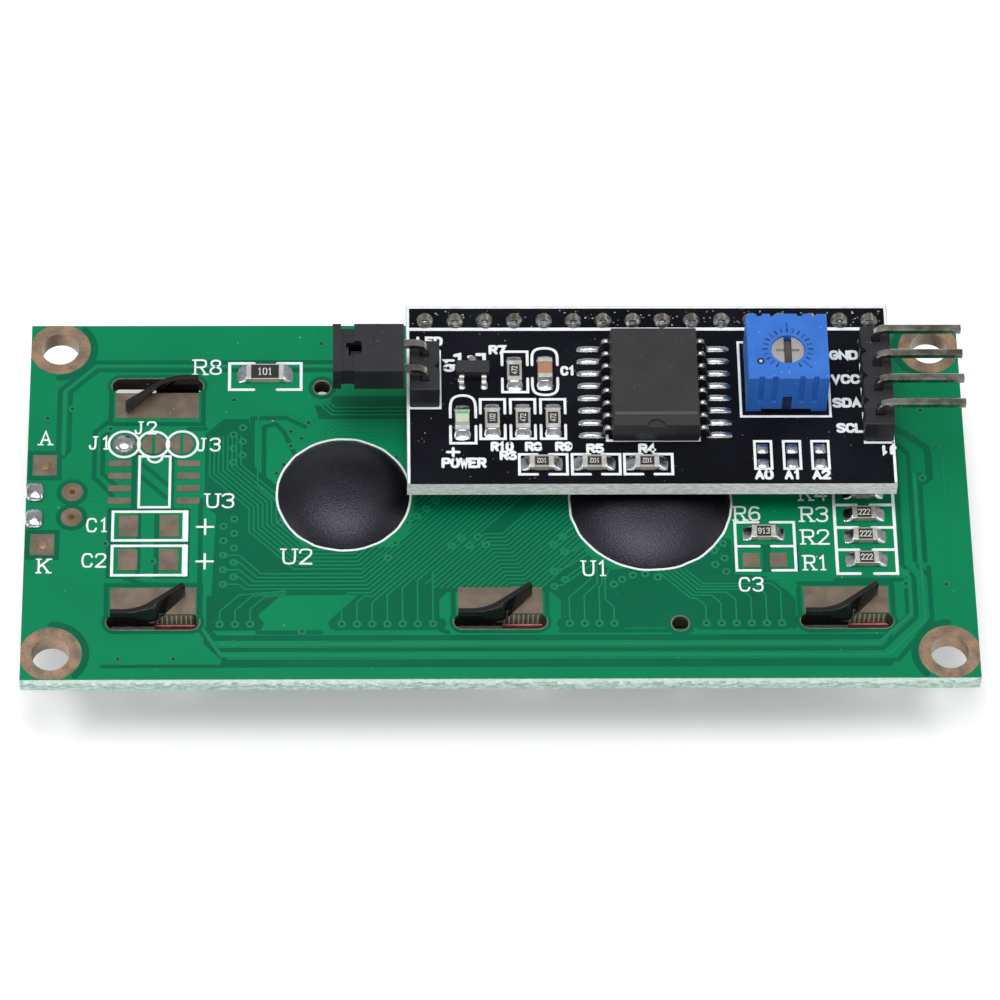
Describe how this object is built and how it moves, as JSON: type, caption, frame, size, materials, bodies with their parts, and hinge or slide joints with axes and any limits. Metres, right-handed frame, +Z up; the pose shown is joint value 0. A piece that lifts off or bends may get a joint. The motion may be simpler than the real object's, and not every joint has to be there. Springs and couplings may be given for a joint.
{
  "type": "character lcd module",
  "caption": "Two-line character display module lying face down, with a serial adapter board on its back, a trimmer, a jumper cap and right-angle pins.",
  "frame": {"origin": "centre of the main board and of its four fixing holes, on the plane of the display face that the module lies on", "axes": "+Z up from the display face to the component side, +X along the board towards the bus header pins, +Y across the board towards the long pin header"},
  "size_m": [0.08, 0.036, 0.018],
  "materials": {
    "green_board": "green solder mask over glass-fibre board, semi-gloss",
    "black_board": "black solder mask over glass-fibre board, semi-gloss",
    "bare_copper": "protected bare copper, dull",
    "solder": "tin solder, bright and slightly rough",
    "bezel_black": "black enamel on folded sheet steel",
    "display_glass": "clear polished glass",
    "polariser": "blue tinted film, smooth",
    "striped_rubber": "silicone rubber with fine dark stripes",
    "tray_white": "white moulded plastic",
    "light_guide_clear": "clear acrylic",
    "film_white": "milky film",
    "resin_black": "black epoxy drop, satin",
    "chip_ceramic": "black glazed ceramic chip",
    "capacitor_tan": "tan ceramic",
    "lamp_lens": "pale epoxy lens",
    "header_black": "black moulded plastic, satin",
    "chip_black": "black moulded epoxy, fine grain",
    "pin_tin": "tinned brass",
    "trimmer_blue": "blue moulded plastic, satin",
    "rotor_metal": "nickel-plated rotor",
    "element_ceramic": "white ceramic with resistive track",
    "spring_metal": "spring bronze"
  },
  "bodies": {
    "module": {"main_board": "green_board", "fixing_pads": "bare_copper", "tab_pads": "bare_copper", "bare_pads": "bare_copper", "land_solder": "solder", "bezel": "bezel_black", "front_polariser": "polariser", "front_glass": "display_glass", "rear_glass": "display_glass", "rear_polariser": "polariser", "diffuser_film": "film_white", "zebra_strip_near": "striped_rubber", "zebra_strip_far": "striped_rubber", "backlight_tray": "tray_white", "light_guide": "light_guide_clear", "backlight_lamps": "lamp_lens", "backlight_leads": "pin_tin", "left_resin": "resin_black", "right_resin": "resin_black", "board_resistors": "chip_ceramic", "board_resistors_ends": "solder", "board_solder": "solder", "header_strip": "header_black", "header_pins": "pin_tin", "header_solder_front": "solder", "header_solder_rear": "solder", "adapter_board": "black_board", "expander_body": "chip_black", "expander_leads": "pin_tin", "expander_solder": "solder", "transistor_body": "chip_black", "transistor_leads": "pin_tin", "power_lamp": "lamp_lens", "power_lamp_ends": "solder", "adapter_resistors": "chip_ceramic", "adapter_resistors_ends": "solder", "supply_capacitor": "capacitor_tan", "supply_capacitor_ends": "solder", "adapter_solder": "solder", "address_pads": "solder", "trimmer_housing": "trimmer_blue", "trimmer_element": "element_ceramic", "trimmer_pins": "pin_tin", "bus_header_block": "header_black", "bus_header_pins": "pin_tin", "jumper_header_block": "header_black", "jumper_header_pins": "pin_tin", "connector_solder": "solder"},
    "rotor": {"trimmer_rotor": "rotor_metal", "trimmer_wiper": "spring_metal"},
    "cap": {"jumper_cap": "header_black", "jumper_clip": "spring_metal"}
  },
  "joints": [
    {"name": "trimmer_turn", "type": "hinge", "parent": "module", "child": "rotor", "pos_m": [0.02447, 0.00912, 0.01554], "axis": [0, 0, 1], "range_deg": [-130, 130]},
    {"name": "cap_slide", "type": "slide", "parent": "module", "child": "cap", "axis": [-1, 0, 0], "range_m": [0, 0.006]}
  ]
}
